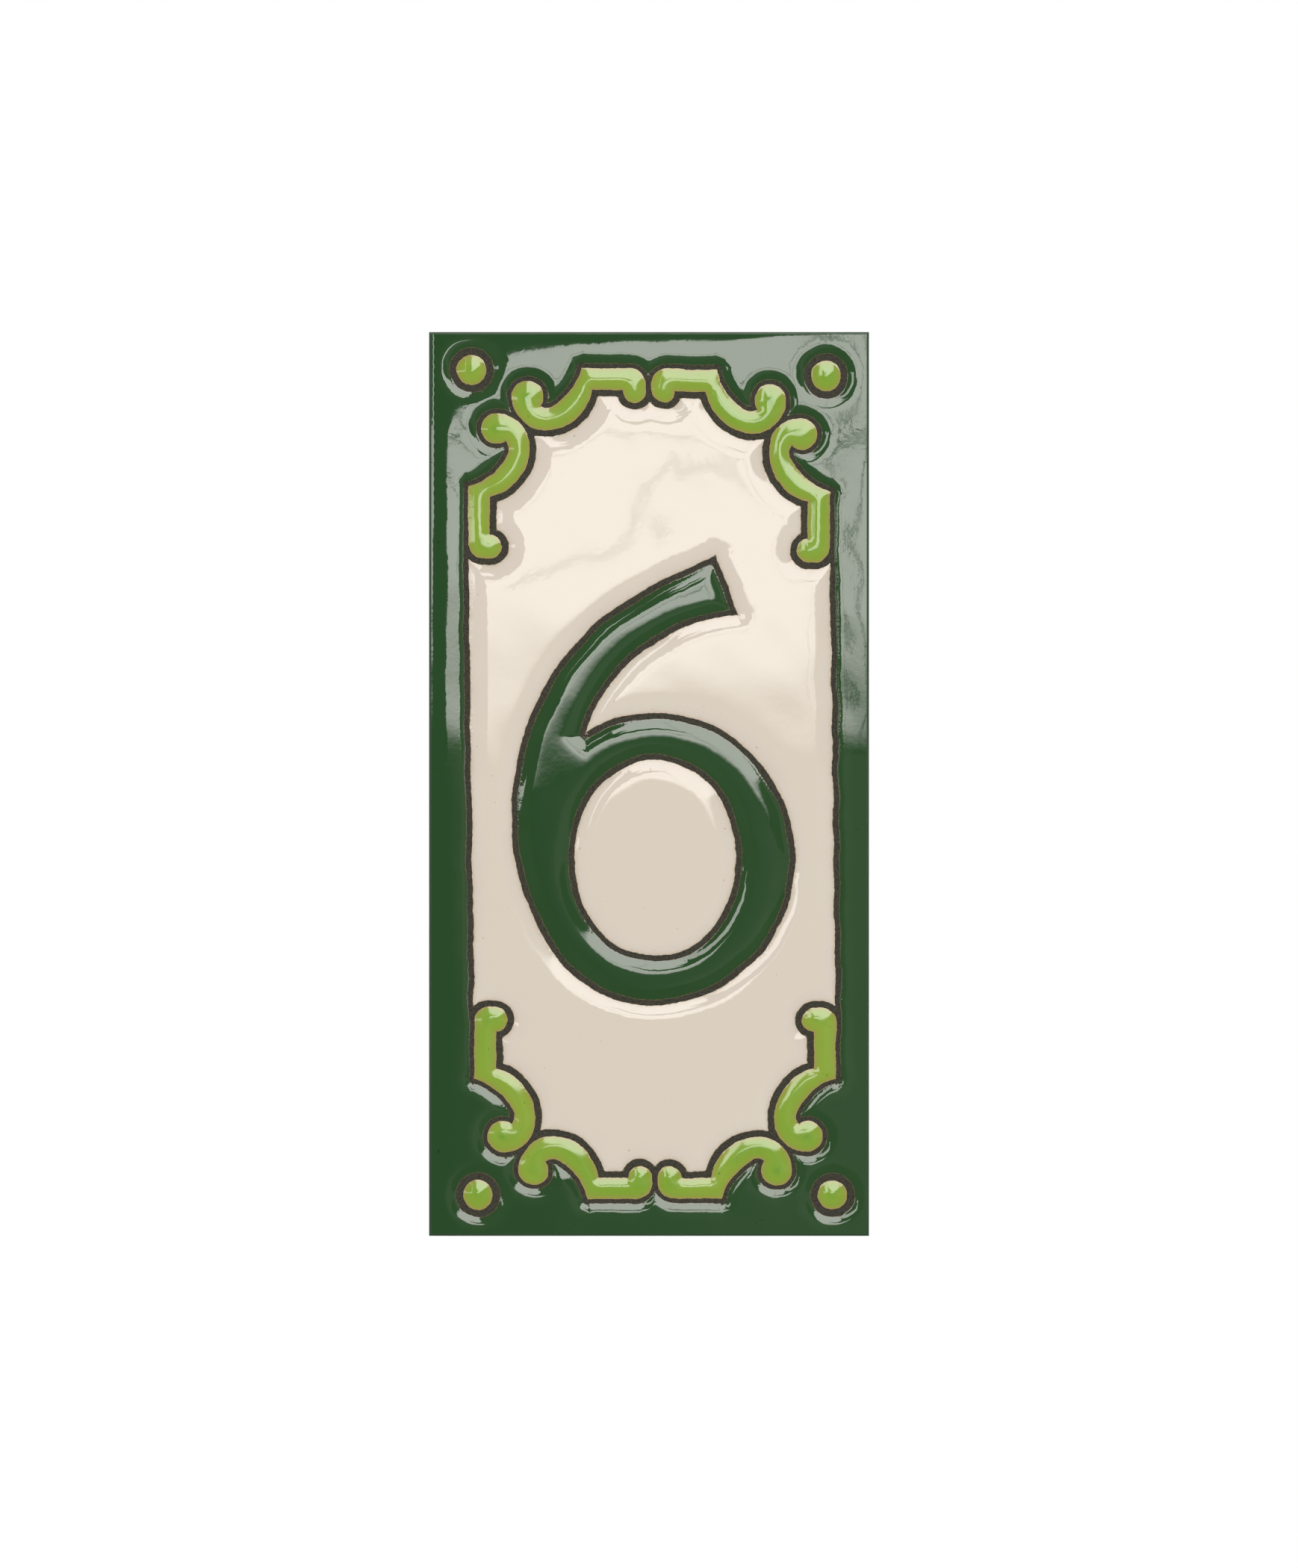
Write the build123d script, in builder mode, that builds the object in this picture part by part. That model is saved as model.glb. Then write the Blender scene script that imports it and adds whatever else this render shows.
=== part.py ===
"""House number tile: one fired piece, upright as it is fixed, in millimetres.

The back lies on the plane y = 0 and the glazed face looks along -Y. The origin is the middle of the
back. Sketches are drawn on the tile's face, with x to the right and y up the tile.
"""
import os
from math import cos, radians, sin

from build123d import *

# Fired body
tile_width = 73.0
tile_height = 150.0
body_thickness = 6.0
back_edge_chamfer = 0.5

# Glaze puddles, each as high above the matt line as its glaze was laid on
frame_rise = 0.3
panel_rise = 0.4
bead_rise = 0.35
digit_rise = 0.4
# Share of the height that the sloping rim of the digit and of the dots takes up
rim_share = 0.8

# Matt line between the puddles
line_width = 1.1

# Dark green frame
side_rail_width = 5.4
end_rail_width = 5.0

# Scrolls: a straight bar with a hook at one end and a curl that ends in a bulb at the other
bar_width = 3.6
hook_radius = 2.0
hook_turn = 2.6
mitre_step = 1.75
curl_radius = 5.5
bulb_radius = 2.6
bulb_join_angle = 215.0
# The curl's frame side, by depth below the bar's edge and by share of the curl's run
flank_depth = 4.2
flank_share = 0.35
throat_depth = 6.5
throat_share = 0.785

# Scrolls along the ends of the tile, a mirrored pair at each end
end_hook_gap = 0.9
end_curl_run = 6.0
end_curl_depth = 10.4
# How far the curl stops short of the side rail's line
end_curl_inset = 7.3

# Scrolls along the sides of the tile
side_bar_length = 11.9
side_curl_run = 6.65
side_curl_depth = 10.2
# How far the curl stops short of the end rail's line
side_curl_inset = 7.8

# Corner dots
dot_radius = 2.55
dot_inset_x = 7.1
dot_inset_y = 6.8

# The lower pair of corners was laid a little to the right of the upper pair
lower_row_shift = 1.0

# The digit, drawn along the panel's edge of its line, from the tip of the stem down its outer side,
# round the bowl to the notch, and back up the inner side of the stem. Its points are shares of its
# height, from the middle of the tile.
digit_height = 74.3
stem_tip_share = (0.148, 0.511)
stem_heading = -156.8
outer_sweep_shares = [
    (-0.039, 0.416),
    (-0.244, 0.195),
    (-0.307, -0.100),
    (-0.210, -0.381),
    (0.063, -0.489),
    (0.311, -0.266),
    (0.210, 0.086),
    (-0.143, 0.114),
]
notch_heading = 72.3
inner_sweep_shares = [(-0.061, 0.253), (0.199, 0.380)]
bowl_centre_share = (0.0135, -0.166)
bowl_width = 26.9
bowl_height = 32.4
# Radius of the bowl's ends, by share of its width
bowl_end_share = 0.457

# Places that follow from the sizes above
face_plane = Plane.XZ.offset(body_thickness)
side_edge = tile_width / 2 - side_rail_width - line_width
end_edge = tile_height / 2 - end_rail_width - line_width
end_hook = end_hook_gap / 2
end_bar_length = side_edge - end_curl_inset - curl_radius - end_curl_run - end_hook
side_hook = end_edge - side_curl_inset - curl_radius - side_curl_run - side_bar_length
side_line_end = side_hook + side_bar_length / 2
dot_x = tile_width / 2 - dot_inset_x
dot_y = tile_height / 2 - dot_inset_y
bowl_end_radius = bowl_end_share * bowl_width
bowl_centre = Vector(bowl_centre_share) * digit_height
stem_tip = Vector(stem_tip_share) * digit_height
outer_sweep = [Vector(share) * digit_height for share in outer_sweep_shares]
inner_sweep = [Vector(share) * digit_height for share in inner_sweep_shares]


def unit(angle):
    """Direction at an angle in degrees."""
    return Vector(cos(radians(angle)), sin(radians(angle)))


def scroll(bar_length, curl_run, curl_depth):
    """Scroll along +x from its hook at x = 0, its bar's outer edge on y = 0, its curl below."""
    curl_centre = Vector(bar_length + curl_run, curl_radius - curl_depth)
    bulb_centre = curl_centre + Vector(curl_radius - bulb_radius, 0)
    crotch = bulb_centre + unit(bulb_join_angle) * bulb_radius
    bulb_side = curl_centre + Vector(curl_radius, 0)
    curl_foot = curl_centre - Vector(0, curl_radius)
    mitre_inside = Vector(bar_length - mitre_step, -bar_width)
    hook_inside = Vector(2 * hook_radius, -bar_width)
    with BuildSketch() as shape:
        with BuildLine():
            Line((hook_turn, 0), (bar_length, 0))
            flank = ThreePointArc(
                (bar_length, 0),
                (bar_length + flank_share * curl_run, -flank_depth),
                (bar_length + throat_share * curl_run, -throat_depth),
            )
            TangentArc(flank @ 1, crotch, tangent=flank % 1)
            TangentArc(crotch, bulb_side, tangent=unit(bulb_join_angle - 90))
            TangentArc(bulb_side, curl_foot, tangent=(0, -1))
            TangentArc(curl_foot, mitre_inside, tangent=(-1, 0))
            Line(mitre_inside, hook_inside)
            TangentArc(hook_inside, (0, -bar_width), tangent=(0, -1))
            Line((0, -bar_width), (0, -hook_turn))
            TangentArc((0, -hook_turn), (hook_turn, 0), tangent=(0, 1))
        make_face()
    return shape.sketch


def oval(width, height, end_radius):
    """Upright oval of four arcs that run into each other."""
    rise = height / 2 - end_radius
    side_radius = (width**2 / 4 + rise**2 - end_radius**2) / (width - 2 * end_radius)
    toward_joint = Vector(side_radius - width / 2, rise).normalized()
    joint = Vector(0, rise) + toward_joint * end_radius
    with BuildSketch() as shape:
        with BuildLine():
            ThreePointArc((-joint.X, joint.Y), (0, height / 2), (joint.X, joint.Y))
            ThreePointArc((joint.X, joint.Y), (width / 2, 0), (joint.X, -joint.Y))
            ThreePointArc((joint.X, -joint.Y), (0, -height / 2), (-joint.X, -joint.Y))
            ThreePointArc((-joint.X, -joint.Y), (-width / 2, 0), (-joint.X, joint.Y))
        make_face()
    return shape.sketch


def all_corners(upper_right):
    """The upper right corner's shapes, mirrored to the other three corners."""
    with BuildSketch() as upper:
        add(upper_right)
        mirror(about=Plane.YZ)
    with BuildSketch() as four:
        add(upper.sketch)
        with Locations((lower_row_shift, 0)):
            add(mirror(upper.sketch, about=Plane.XZ, mode=Mode.PRIVATE))
    return four.sketch


def puddle(shapes, rise):
    """Glaze laid on the shapes to a height."""
    with BuildPart() as glaze:
        with BuildSketch(face_plane):
            add(shapes)
        extrude(amount=rise)
    return glaze.part


def domed(glaze, rise):
    """A puddle with a sloping rim."""
    with BuildPart() as dome:
        add(glaze)
        chamfer(dome.faces().group_by(Axis.Y)[0].edges(), rise * rim_share)
    return dome.part


# Light green scrolls and dots
end_scroll = scroll(end_bar_length, end_curl_run, end_curl_depth)
side_scroll = scroll(side_bar_length, side_curl_run, side_curl_depth)
diagonal = Plane(origin=(0, 0, 0), z_dir=(1, -1, 0))
with BuildSketch() as corner_scrolls:
    with Locations((end_hook, end_edge)):
        add(end_scroll)
    with Locations((side_edge, side_hook)):
        add(mirror(side_scroll, about=diagonal, mode=Mode.PRIVATE))
with BuildSketch() as corner_dot:
    with Locations((dot_x, dot_y)):
        Circle(dot_radius)
scrolls = all_corners(corner_scrolls.sketch)
dots = all_corners(corner_dot.sketch)

# Digit, inside its line
with BuildSketch() as digit_outline:
    with BuildLine():
        start = stem_tip
        heading = unit(stem_heading)
        for end in outer_sweep:
            stroke = TangentArc(start, end, tangent=heading)
            start = end
            heading = stroke % 1
        heading = unit(notch_heading)
        for end in inner_sweep:
            stroke = TangentArc(start, end, tangent=heading)
            start = end
            heading = stroke % 1
        Line(start, stem_tip)
    make_face()
bowl = oval(
    bowl_width + 2 * line_width, bowl_height + 2 * line_width, bowl_end_radius + line_width
)
with BuildSketch() as digit:
    offset(digit_outline.sketch, amount=-line_width)
    with Locations(bowl_centre):
        add(bowl, mode=Mode.SUBTRACT)

# The line round the panel: a band round every scroll, and one down each side between them
with BuildSketch() as panel_line:
    for drawn in scrolls.faces():
        offset(drawn, amount=line_width, mode=Mode.ADD)
    for side in (1, -1):
        with BuildLine():
            Polyline(
                (side * side_edge, side_line_end),
                (side * (side_edge + line_width), side_line_end),
                (side * (side_edge + line_width) + lower_row_shift, -side_line_end),
                (side * side_edge + lower_row_shift, -side_line_end),
                close=True,
            )
        make_face()
with BuildSketch() as grounds:
    Rectangle(tile_width, tile_height)
    add(panel_line.sketch, mode=Mode.SUBTRACT)
around, inside = grounds.faces().sort_by(SortBy.AREA)

# Dark green frame round the panel's line, with a ring of line round each dot
with BuildSketch() as frame:
    add(around)
    for dot in dots.faces():
        offset(dot, amount=line_width, mode=Mode.SUBTRACT)

# Cream panel inside its line, with a band of line round the digit
with BuildSketch() as panel:
    add(inside)
    offset(digit.sketch, amount=line_width, mode=Mode.SUBTRACT)

glazes = [
    puddle(frame.sketch, frame_rise),
    puddle(panel.sketch, panel_rise),
    puddle(scrolls, bead_rise),
    domed(puddle(digit.sketch, digit_rise), digit_rise),
    domed(puddle(dots, bead_rise), bead_rise),
]

with BuildPart() as tile:
    with BuildSketch(Plane.XZ):
        Rectangle(tile_width, tile_height)
    extrude(amount=body_thickness)
    chamfer(tile.faces().sort_by(Axis.Y)[-1].edges(), back_edge_chamfer)
    for glaze in glazes:
        add(glaze)
tile.part.label = "tile"

os.makedirs("parts", exist_ok=True)
export_step(tile.part, "parts/tile.step")
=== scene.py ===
"""Looks of the house number tile: a fired body with puddles of glaze held apart by a matt line.

The outlines are drawn in millimetres on the tile's face, x to the right and z up, as complex numbers
x + 1j * z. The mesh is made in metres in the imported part's frame, with the face towards -Y.
"""

import cmath
import math

import bpy
import numpy as np
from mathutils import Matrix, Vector, geometry, kdtree


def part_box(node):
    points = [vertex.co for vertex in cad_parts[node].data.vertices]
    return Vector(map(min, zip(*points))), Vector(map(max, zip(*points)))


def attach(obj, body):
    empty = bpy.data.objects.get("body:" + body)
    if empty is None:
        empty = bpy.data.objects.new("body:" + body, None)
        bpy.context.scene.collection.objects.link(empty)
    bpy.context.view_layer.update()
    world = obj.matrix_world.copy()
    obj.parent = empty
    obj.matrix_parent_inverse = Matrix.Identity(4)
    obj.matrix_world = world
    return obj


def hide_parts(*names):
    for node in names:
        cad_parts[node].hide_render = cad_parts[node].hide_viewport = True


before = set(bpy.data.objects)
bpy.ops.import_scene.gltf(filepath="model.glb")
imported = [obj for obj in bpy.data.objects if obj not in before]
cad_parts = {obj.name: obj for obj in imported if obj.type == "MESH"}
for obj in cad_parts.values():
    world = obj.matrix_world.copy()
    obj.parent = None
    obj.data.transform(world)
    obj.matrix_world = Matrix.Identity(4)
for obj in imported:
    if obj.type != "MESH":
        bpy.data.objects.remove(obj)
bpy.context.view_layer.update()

MM = 0.001

# Body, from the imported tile
tile_low, tile_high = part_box("tile")
tile_width = (tile_high.x - tile_low.x) / MM
tile_height = (tile_high.z - tile_low.z) / MM
body_thickness = 6.0
back_edge_chamfer = 0.5
# Round of the glazed edge, and how far the glaze runs down the sides, in waves
edge_round = 0.4
glaze_run = 1.3
glaze_run_wave = 0.3
glaze_run_wavelength = 9.0
glaze_run_seed = 3

# Matt line: full width beside the panel, partly covered by the glazes of the frame and the digit
line_width = 1.1
frame_line_width = 0.75
digit_line_width = 0.95
dot_line_width = 1.2
# The line down each side narrows to the frame's line towards the scrolls
side_line_full_width = 0.9
side_line_taper = 7.0

# Frame and scrolls
side_rail_width = 5.4
end_rail_width = 5.0
bar_width = 3.6
hook_radius = 2.0
hook_turn = 2.6
mitre_step = 1.75
curl_radius = 5.5
bulb_radius = 2.6
bulb_join_angle = 215.0
flank_depth = 4.2
flank_share = 0.35
throat_depth = 6.5
throat_share = 0.785
end_hook_gap = 0.9
end_curl_run = 6.0
end_curl_depth = 10.4
end_curl_inset = 7.3
side_bar_length = 11.9
side_curl_run = 6.65
side_curl_depth = 10.2
side_curl_inset = 7.8
dot_radius = 2.5
# The dots are drawn as ovals that are round but for this share
dot_flattening = 0.001
dot_inset_x = 7.1
dot_inset_z = 6.8
lower_row_shift = 1.0

# Digit, along the panel's edge of its line, by shares of its height from the middle of the tile
digit_height = 74.3
stem_tip = 0.148 + 0.511j
stem_heading = -156.8
outer_sweep = [
    -0.039 + 0.416j,
    -0.244 + 0.195j,
    -0.307 - 0.100j,
    -0.210 - 0.381j,
    0.063 - 0.489j,
    0.311 - 0.266j,
    0.210 + 0.086j,
    -0.143 + 0.114j,
]
notch_heading = 72.3
inner_sweep = [-0.061 + 0.253j, 0.199 + 0.380j]
bowl_centre = 0.0135 - 0.166j
bowl_width = 26.9
bowl_height = 32.4
bowl_end_share = 0.457

# Places that follow from the sizes above
side_edge = tile_width / 2 - side_rail_width - line_width
end_edge = tile_height / 2 - end_rail_width - line_width
end_hook = end_hook_gap / 2
end_bar_length = side_edge - end_curl_inset - curl_radius - end_curl_run - end_hook
side_hook = end_edge - side_curl_inset - curl_radius - side_curl_run - side_bar_length
side_line_end = side_hook + hook_radius
dot_centre = complex(tile_width / 2 - dot_inset_x, tile_height / 2 - dot_inset_z)

# Glazes: height on a wide field, distance in where it levels out, and reach that evens its surface
LINE, FRAME, PANEL, BEAD, DIGIT, DOT = range(6)
film_height = {LINE: 0.0, FRAME: 0.4, PANEL: 0.5, BEAD: 0.52, DIGIT: 0.52, DOT: 0.75}
film_shoulder = {LINE: 1.0, FRAME: 0.82, PANEL: 1.5, BEAD: 1.1, DIGIT: 1.15, DOT: 1.6}
film_bend = {LINE: 0.3, FRAME: 0.3, PANEL: 0.3, BEAD: 0.5, DIGIT: 0.4, DOT: 0.4}
# Along the straight rails the frame's glaze levels out sooner
rail_shoulder = 0.3
rail_bend = 0.12
rail_end = 52.0
rail_blend = 5.0
# Settling of the film: its grid, rounds, and how firmly the line holds it down
film_grid = 0.16
film_rounds = 250
line_hold = 200.0
# Reach in which the film leaves the line, and in which its slope is that of the glaze inside
contact_width = 0.08
edge_reach = 0.05
# Slow swells of the glaze: wavelength and height
film_swells = {26.0: 0.014, 11.0: 0.004}
# Fall of the glaze towards the tile's edge, and how far in from the edge it reaches
end_fall = 0.09
right_fall = 0.02
edge_fall_reach = 1.5
left_fall = 0.35
left_fall_reach = 0.8
# Reach of the thinner tone at a glaze's edge, and how thin the glaze is over the tile's edge
thin_reach = 0.35
edge_thinness = 0.5
# Distances in from the edge where a glaze's deep tone begins and is full
deep_from = 1.7
deep_to = 2.6
# Waves that make up an unevenness, and the spread of their lengths
ripple_waves = 12
ripple_spread = (0.7, 1.5)

# Hand-laid wobble of the lines by wavelength, lean of the upper row, and where both die away
line_wobble = {9.0: 0.07, 2.2: 0.025, 0.9: 0.02}
upper_lean = 0.6
lean_reach = 50.0
border_fade = 2.0

# Mesh along the glazes' edges: spacing, rows to both sides, leeways, and the turn of an arc, in
# radians, that doubles its points
edge_step = 0.3
glaze_rows = [0.12, 0.3, 0.55, 0.9, 1.35, 1.9]
line_rows = [0.22, 0.5]
edge_leeway = 0.02
row_leeway = 0.2
doubling_turn = 6.0
straight_turn = 1e-6
# Mesh of the open fields, the digit and the back, and the square that keeps one point
field_step = 0.9
field_depth = 2.3
digit_step = 0.45
digit_depth = 0.6
back_step = 6.0
thinning = 0.1
round_steps = 7
border_leeway = 1e-9
merging = 1e-5
# Share of its distance above which a point is square on to an outline
square_on = 0.7

# Material slots
DARK_LINE, GREEN, CREAM, LIGHT, EDGE, BISCUIT = range(6)
slot_of = {LINE: DARK_LINE, FRAME: GREEN, PANEL: CREAM, BEAD: LIGHT, DIGIT: GREEN, DOT: LIGHT}
# Flat sheet that the mesh's colours are mapped onto: its size, and where the face and the back lie on
# it
sheet_size = 172.0
sheet_shift = -0.235
back_on_sheet = 84.0

# Glaze textures: sizes and heights in millimetres, and spans of their noise
middle_span = (0.3, 0.7)
cloud_size = 14.0
cloud_span = (0.35, 0.65)
thin_grain_size = 0.5
thin_grain = 0.12
thin_full = 0.75
rim_from = 0.78
speck_size = 0.55
speck_softness = 0.04
ripple_size = 4.5
ripple_height = 0.004
peel_size = 0.8
peel_height = 0.0012
pit_size = 0.45
pit_height = 0.025
gloss_size = 3.0
gloss_spread = 0.3
# Matt line
line_grain_size = 0.35
line_grain_height = 0.06
line_roughness = 0.75
line_index = 1.2
# Biscuit
clay_cloud_size = 18.0
clay_grain_size = 0.6
clay_grain_height = 0.05
clay_pit_size = 1.1
clay_pit_span = (0.66, 0.72)
clay_pit_depth = 0.12
clay_roughness = 0.9

# Stage, in metres: camera, and plane of the windows that the glaze mirrors
camera_distance = 1.2
picture_height = 0.2601
sensor_width = 36.0
view_reach = 20.0
card_y = -1.3
bar_gap = 0.01
room_gap = -0.1
# Main window, with a sill that climbs to the right of a bend and a shade above it
window_left = -0.105
window_right = 0.9
window_sill = 0.006
window_top = 2.5
sill_bend = 0.1
sill_climb = 0.72
sill_shade = 0.055
window_light = 5.0
window_tint = (1.02, 0.99, 0.955)
# Corners of the windows that are seen beside the main one
upper_corners = [(-0.105, 0.45), (-0.18, 0.45), (-0.4, 1.0), (-1.0, 2.5), (-0.105, 2.5)]
far_corners = [(-0.65, 0.1), (-0.65, 2.5), (-0.33, 2.5), (-0.33, 0.1)]
low_corners = [(-3.0, 0.05), (-3.0, 0.13), (-0.65, 0.13), (-0.65, 0.05)]
far_light = 4.2
# Dark post close to the tile, on its left, which widens at the top
post_y = -0.106
post_corners = [
    (-0.075, -0.2), (-0.075, 0.3), (-0.026, 0.3), (-0.026, 0.077), (-0.0385, 0.063), (-0.0385, -0.2),
]
# Dark bars across the main window: slanted transom, upright and level bars
transom_left = -0.12
transom_bend = -0.062
transom_left_end = 0.16
transom_slant = 0.8
transom_high = 0.3
upright_bars = [0.066, 0.088]
level_bars = [0.118]
bar_thickness = 0.0025
# Branch in front of the window
branch_points = [
    (-0.060, 0.062), (-0.042, 0.072), (-0.030, 0.079), (-0.012, 0.086), (-0.004, 0.094), (0.005, 0.102),
    (0.013, 0.1055), (0.0165, 0.097), (0.023, 0.0925), (0.028, 0.099), (0.0265, 0.108), (0.0405, 0.118),
]
branch_thickness = 0.006
branch_light = 2.0
# Room behind the windows, darker on the left, and the dark ground
dark_light = 0.02
dim_light = 0.2
dim_left = -0.08
dim_right = 0.08
dark_reach = 5.0
ground_z = -0.29
# Even light all round, and the floor
ambient_light = 1.06
floor_z = -0.3
floor_reach = 0.5
floor_roughness = 0.9


def unit(angle):
    """Direction at an angle in degrees."""
    return cmath.rect(1.0, math.radians(angle))


class Pen:
    """Draws an outline as points along lines and arcs."""

    def __init__(self, start, heading=1.0):
        self.at = start
        self.heading = heading
        self.points = []

    def sweep(self, end, turn):
        """Arc to a point that turns by an angle on the way."""
        chord = end - self.at
        count = max(2, math.ceil(abs(chord) * (1 + abs(turn) / doubling_turn) / edge_step))
        share = np.arange(count) / count
        if abs(turn) > straight_turn:
            share = (np.exp(1j * turn * share) - 1) / (cmath.exp(1j * turn) - 1)
        self.points.extend(self.at + chord * share)
        self.heading = chord / abs(chord) * cmath.exp(1j * turn / 2)
        self.at = end

    def line(self, end):
        """Straight line to a point."""
        self.sweep(end, 0.0)

    def arc(self, end, heading=None):
        """Arc to a point that sets off along a heading."""
        start_heading = self.heading if heading is None else heading
        self.sweep(end, 2 * cmath.phase((end - self.at) / start_heading))

    def arc_through(self, middle, end):
        """Arc to a point by way of another."""
        self.sweep(end, 2 * cmath.phase((end - middle) / (middle - self.at)))


def scroll(bar_length, curl_run, curl_depth):
    """Outline of a scroll along +x from its hook, and the stretch of it that faces the panel."""
    curl_centre = bar_length + curl_run + 1j * (curl_radius - curl_depth)
    bulb_centre = curl_centre + curl_radius - bulb_radius
    pen = Pen(hook_turn + 0j)
    pen.line(bar_length + 0j)
    pen.arc_through(
        bar_length + flank_share * curl_run - 1j * flank_depth,
        bar_length + throat_share * curl_run - 1j * throat_depth,
    )
    pen.arc(bulb_centre + unit(bulb_join_angle) * bulb_radius)
    pen.arc(curl_centre + curl_radius, unit(bulb_join_angle - 90))
    pen.arc(curl_centre - 1j * curl_radius, -1j)
    foot = len(pen.points)
    pen.arc(bar_length - mitre_step - 1j * bar_width, -1)
    pen.line(2 * hook_radius - 1j * bar_width)
    pen.arc(-1j * bar_width, -1j)
    hook = len(pen.points)
    pen.line(-1j * hook_turn)
    pen.arc(hook_turn + 0j, 1j)
    points = np.array(pen.points)
    return points, points[foot:hook]


def oval(centre, width, height, end_radius):
    """Upright oval of four arcs that run into each other."""
    rise = height / 2 - end_radius
    side_radius = (width**2 / 4 + rise**2 - end_radius**2) / (width - 2 * end_radius)
    toward_joint = complex(side_radius - width / 2, rise)
    joint = 1j * rise + toward_joint / abs(toward_joint) * end_radius
    pen = Pen(centre + joint.conjugate())
    pen.arc_through(centre + width / 2, centre + joint)
    pen.arc_through(centre + 1j * height / 2, centre - joint.conjugate())
    pen.arc_through(centre - width / 2, centre - joint)
    pen.arc_through(centre - 1j * height / 2, centre + joint.conjugate())
    return np.array(pen.points)


def digit_edge_points():
    """Outline of the digit's line, on the panel's side."""
    pen = Pen(stem_tip * digit_height, unit(stem_heading))
    for end in outer_sweep:
        pen.arc(end * digit_height)
    pen.heading = unit(notch_heading)
    for end in inner_sweep:
        pen.arc(end * digit_height)
    pen.line(stem_tip * digit_height)
    return np.array(pen.points)


def to_corner(points, right, upper):
    """Points of the upper right corner, mirrored to another corner."""
    if not right:
        points = -points.conjugate()
    if not upper:
        points = points.conjugate() + lower_row_shift
    return points


def corner_shapes(right, upper):
    """Outlines of a corner's two scrolls and dot, and the panel's side of its scrolls, hook to hook."""
    end_points, end_inside = scroll(end_bar_length, end_curl_run, end_curl_depth)
    side_points, side_inside = scroll(side_bar_length, side_curl_run, side_curl_depth)
    end_place = complex(end_hook, end_edge)
    side_place = complex(side_edge, side_hook)
    turned = 1j * side_points.conjugate() + side_place
    turned_inside = 1j * side_inside.conjugate() + side_place
    dot_height = 2 * dot_radius * (1 + dot_flattening)
    dot = oval(dot_centre, 2 * dot_radius, dot_height, dot_radius * (1 - dot_flattening))
    shapes = [to_corner(points, right, upper) for points in (end_points + end_place, turned, dot)]
    side_line = complex(side_edge + line_width / 2, side_line_end)
    curl_meeting = (
        end_place + end_bar_length + end_curl_run - 1j * (end_curl_depth - curl_radius)
        + side_place + 1j * (side_bar_length + side_curl_run) - (side_curl_depth - curl_radius)
    ) / 2
    inside = np.concatenate(
        [[side_line], turned_inside[::-1], [curl_meeting], end_inside + end_place]
    )
    return shapes, to_corner(inside, right, upper)


def plane_points(points):
    """Complex points as rows of x and z."""
    return np.stack([points.real, points.imag], axis=-1)


class Outline:
    """Closed outlines, with the signed distance of any point from them, above 0 inside."""

    def __init__(self, loops):
        self.loops = [points if signed_area(points) > 0 else points[::-1] for points in loops]
        self.points = np.concatenate(self.loops)
        self.normals = np.concatenate([outward(points) for points in self.loops])
        self.tree = kdtree.KDTree(len(self.points))
        for index, point in enumerate(self.points):
            self.tree.insert((point.real, point.imag, 0.0), index)
        self.tree.balance()

    def signed(self, points):
        """Distances of points, measured across the outline where they lie square on to it."""
        found = [self.tree.find((x, z, 0.0)) for x, z in plane_points(points)]
        nearest = np.array([index for _, index, _ in found])
        away = points - self.points[nearest]
        across = (away * self.normals[nearest].conjugate()).real
        distance = np.where(np.abs(across) > square_on * np.abs(away), np.abs(across), np.abs(away))
        return -np.copysign(distance, across)


def signed_area(points):
    """Area inside a closed outline, above 0 where it runs anticlockwise."""
    return 0.5 * (points.conjugate() * np.roll(points, -1)).imag.sum()


def outward(points):
    """Outward directions along a closed outline that runs anticlockwise."""
    along = np.roll(points, -1) - points
    along = along / np.abs(along)
    mean = along + np.roll(along, 1)
    return -1j * mean / np.abs(mean)


def side_line_width(height):
    """Width of the line down a side of the panel, which narrows towards the scrolls."""
    share = np.clip((side_line_end - np.abs(height)) / side_line_taper, 0, 1)
    return frame_line_width + (side_line_full_width - frame_line_width) * share**2 * (3 - 2 * share)


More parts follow.
